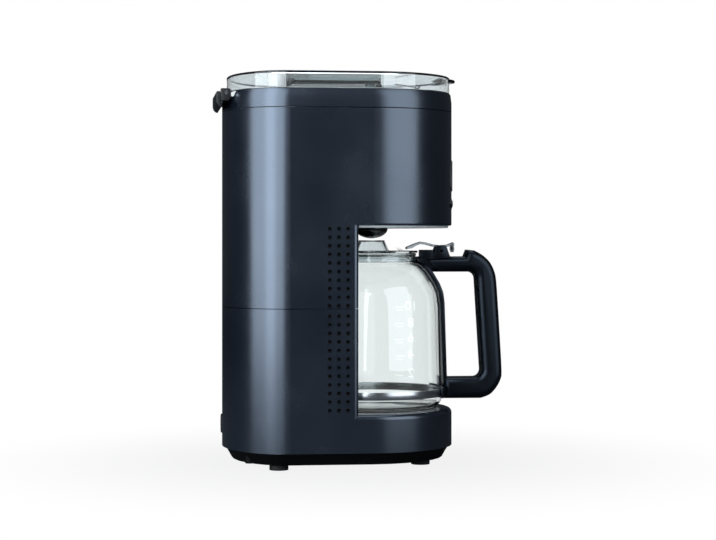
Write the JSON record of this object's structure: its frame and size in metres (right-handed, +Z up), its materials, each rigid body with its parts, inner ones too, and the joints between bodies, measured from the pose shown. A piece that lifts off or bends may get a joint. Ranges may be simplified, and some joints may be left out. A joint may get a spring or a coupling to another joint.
{
  "type": "drip coffee maker",
  "caption": "Tall oblong drip coffee maker in black plastic with a clear hinged lid, a display and buttons in front, and a glass jug in an open bay.",
  "frame": {"origin": "on the table, in the middle of the machine's width, midway between the rear of the hinge bracket and the front of the jug's handle", "axes": "+Z is up; the front, with the display and the jug's handle, faces -Y; the body's width runs along X"},
  "size_m": [0.168, 0.2666, 0.3538],
  "materials": {
    "shell_black": "satin",
    "part_black": "satin",
    "gloss_black": "gloss",
    "rubber": "matte",
    "silicone": "matte",
    "aluminium": "satin",
    "steel": "satin",
    "board": "satin",
    "clear_plastic": "clear",
    "jug_glass": "clear",
    "pale_grey": "satin"
  },
  "bodies": {
    "machine": {"upper_shell": "shell_black", "lower_shell": "shell_black", "base_plate": "part_black", "rubber_foot_1": "rubber", "rubber_foot_2": "rubber", "rubber_foot_3": "rubber", "rubber_foot_4": "rubber", "base_screw_1": "steel", "base_screw_2": "steel", "base_screw_3": "steel", "base_screw_4": "steel", "hot_plate": "gloss_black", "hot_plate_seal": "silicone", "heating_element": "aluminium", "element_bridge": "aluminium", "thermostat": "part_black", "thermal_fuse_1": "steel", "thermal_fuse_2": "steel", "control_board": "board", "cord_gland": "rubber", "water_tank": "clear_plastic", "check_valve": "part_black", "inlet_hose": "silicone", "outlet_hose": "silicone", "riser_tube": "silicone", "rim_ring": "shell_black", "hinge_bracket": "part_black", "hinge_pin": "steel", "basket_well": "part_black", "head_underplate": "pale_grey", "display_window": "gloss_black", "lcd_panel": "pale_grey", "display_board": "board", "indicator_light": "clear_plastic"},
    "lid": {"lid_shell": "clear_plastic", "water_spreader": "pale_grey"},
    "basket": {"filter_basket": "part_black", "valve_spring": "steel"},
    "filter": {"permanent_filter": "steel"},
    "drip": {"drip_valve": "gloss_black", "valve_seal": "silicone"},
    "jug": {"jug_glass": "jug_glass", "neck_band": "clear_plastic", "foot_band": "steel", "handle_strap": "part_black", "jug_handle": "part_black", "handle_screw": "steel", "jug_lid_pin": "steel"},
    "jug_top": {"jug_lid": "clear_plastic"},
    "program_key": {"program_button": "part_black"},
    "hour_key": {"hour_button": "part_black"},
    "power_key": {"power_button": "steel"},
    "minute_key": {"minute_button": "part_black"},
    "auto_key": {"auto_button": "part_black"}
  },
  "joints": [
    {"name": "lid_hinge", "type": "hinge", "parent": "machine", "child": "lid", "pos_m": [0, 0.1245, 0.3366], "axis": [-1, 0, 0], "range_deg": [0, 95]},
    {"name": "basket_lift", "type": "slide", "parent": "machine", "child": "basket", "axis": [0, 0, 1], "range_m": [0, 0.1]},
    {"name": "filter_lift", "type": "slide", "parent": "basket", "child": "filter", "axis": [0, 0, 1], "range_m": [0, 0.047]},
    {"name": "drip_valve_lift", "type": "slide", "parent": "basket", "child": "drip", "axis": [0, 0, 1], "range_m": [0, 0.003], "stiffness_N_per_m": 200, "springref_m": -0.002, "deforming": ["valve_spring"]},
    {"name": "jug_slide", "type": "slide", "parent": "machine", "child": "jug", "axis": [0, -1, 0], "range_m": [0, 0.21]},
    {"name": "jug_lid_hinge", "type": "hinge", "parent": "jug", "child": "jug_top", "pos_m": [0, -0.0763, 0.1944], "axis": [1, 0, 0], "range_deg": [0, 16]},
    {"name": "program_press", "type": "slide", "parent": "machine", "child": "program_key", "axis": [0, 1, 0], "range_m": [0, 0.0012], "stiffness_N_per_m": 300, "springref_m": -0.0005},
    {"name": "hour_press", "type": "slide", "parent": "machine", "child": "hour_key", "axis": [0, 1, 0], "range_m": [0, 0.0012], "stiffness_N_per_m": 300, "springref_m": -0.0005},
    {"name": "power_press", "type": "slide", "parent": "machine", "child": "power_key", "axis": [0, 1, 0], "range_m": [0, 0.0012], "stiffness_N_per_m": 300, "springref_m": -0.0005},
    {"name": "minute_press", "type": "slide", "parent": "machine", "child": "minute_key", "axis": [0, 1, 0], "range_m": [0, 0.0012], "stiffness_N_per_m": 300, "springref_m": -0.0005},
    {"name": "auto_press", "type": "slide", "parent": "machine", "child": "auto_key", "axis": [0, 1, 0], "range_m": [0, 0.0012], "stiffness_N_per_m": 300, "springref_m": -0.0005}
  ],
  "couplings": [
    {"joint": "basket_lift", "follows": "lid_hinge", "m_per_rad": 0.06019},
    {"joint": "filter_lift", "follows": "lid_hinge", "m_per_rad": 0.02829},
    {"joint": "jug_lid_hinge", "follows": "jug_slide", "rad_per_m": 1.3271}
  ]
}
